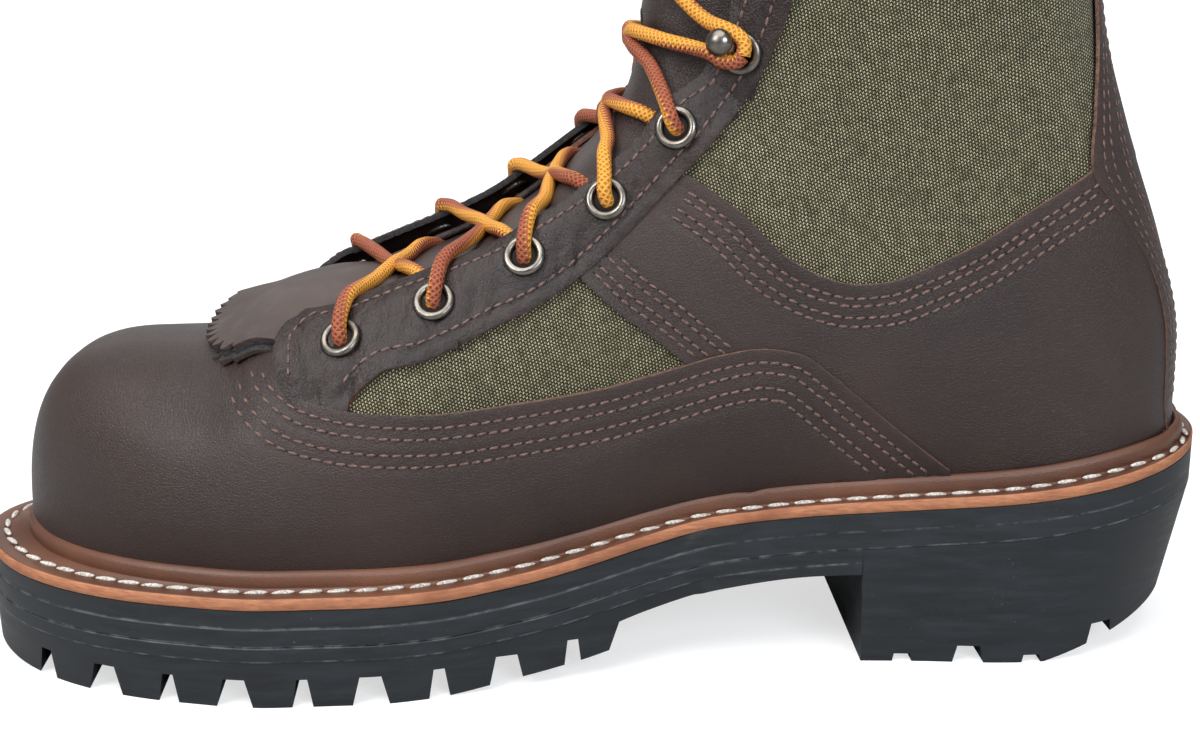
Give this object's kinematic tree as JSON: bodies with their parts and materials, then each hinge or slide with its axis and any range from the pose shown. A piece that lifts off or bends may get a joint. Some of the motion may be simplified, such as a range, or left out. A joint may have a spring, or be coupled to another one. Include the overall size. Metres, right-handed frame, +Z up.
{
  "type": "lace-up work boot",
  "caption": "Lace-up logger boot for the right foot: brown leather over woven green panels, fringed flap, stitched storm welt and a lugged rubber sole with a high heel.",
  "frame": {"origin": "on the floor under the middle of the boot's outline in plan", "axes": "+Z up, toe toward -X, inner (big toe) side toward -Y"},
  "size_m": [0.3049, 0.1129, 0.2625],
  "materials": {
    "black_rubber": "matte moulded rubber",
    "brown_leather": "satin full-grain leather",
    "green_nylon": "coarse plain-woven nylon",
    "lace_braid": "round braid",
    "lining_leather": "plain lining leather",
    "nickel": "antique nickel",
    "welt_leather": "smooth welt leather with a raw tan edge"
  },
  "bodies": {
    "root": {"backstay": "brown_leather", "eyelet_inner_1": "nickel", "eyelet_inner_2": "nickel", "eyelet_inner_3": "nickel", "eyelet_inner_4": "nickel", "eyelet_inner_5": "nickel", "eyelet_outer_1": "nickel", "eyelet_outer_2": "nickel", "eyelet_outer_3": "nickel", "eyelet_outer_4": "nickel", "eyelet_outer_5": "nickel", "eyestay_inner": "brown_leather", "eyestay_outer": "brown_leather", "heel": "black_rubber", "hook_inner_1": "nickel", "hook_inner_2": "nickel", "hook_inner_3": "nickel", "hook_inner_4": "nickel", "hook_inner_5": "nickel", "hook_outer_1": "nickel", "hook_outer_2": "nickel", "hook_outer_3": "nickel", "hook_outer_4": "nickel", "hook_outer_5": "nickel", "insole": "lining_leather", "kiltie": "brown_leather", "lace_1": "lace_braid", "lace_2": "lace_braid", "lace_3": "lace_braid", "lace_4": "lace_braid", "lace_5": "lace_braid", "lace_6": "lace_braid", "lace_7": "lace_braid", "lace_8": "lace_braid", "lace_9": "lace_braid", "midsole": "black_rubber", "outsole": "black_rubber", "quarter_inner": "brown_leather", "quarter_outer": "brown_leather", "tongue": "brown_leather", "upper": "green_nylon", "vamp": "brown_leather", "welt": "welt_leather"}
  },
  "joints": []
}
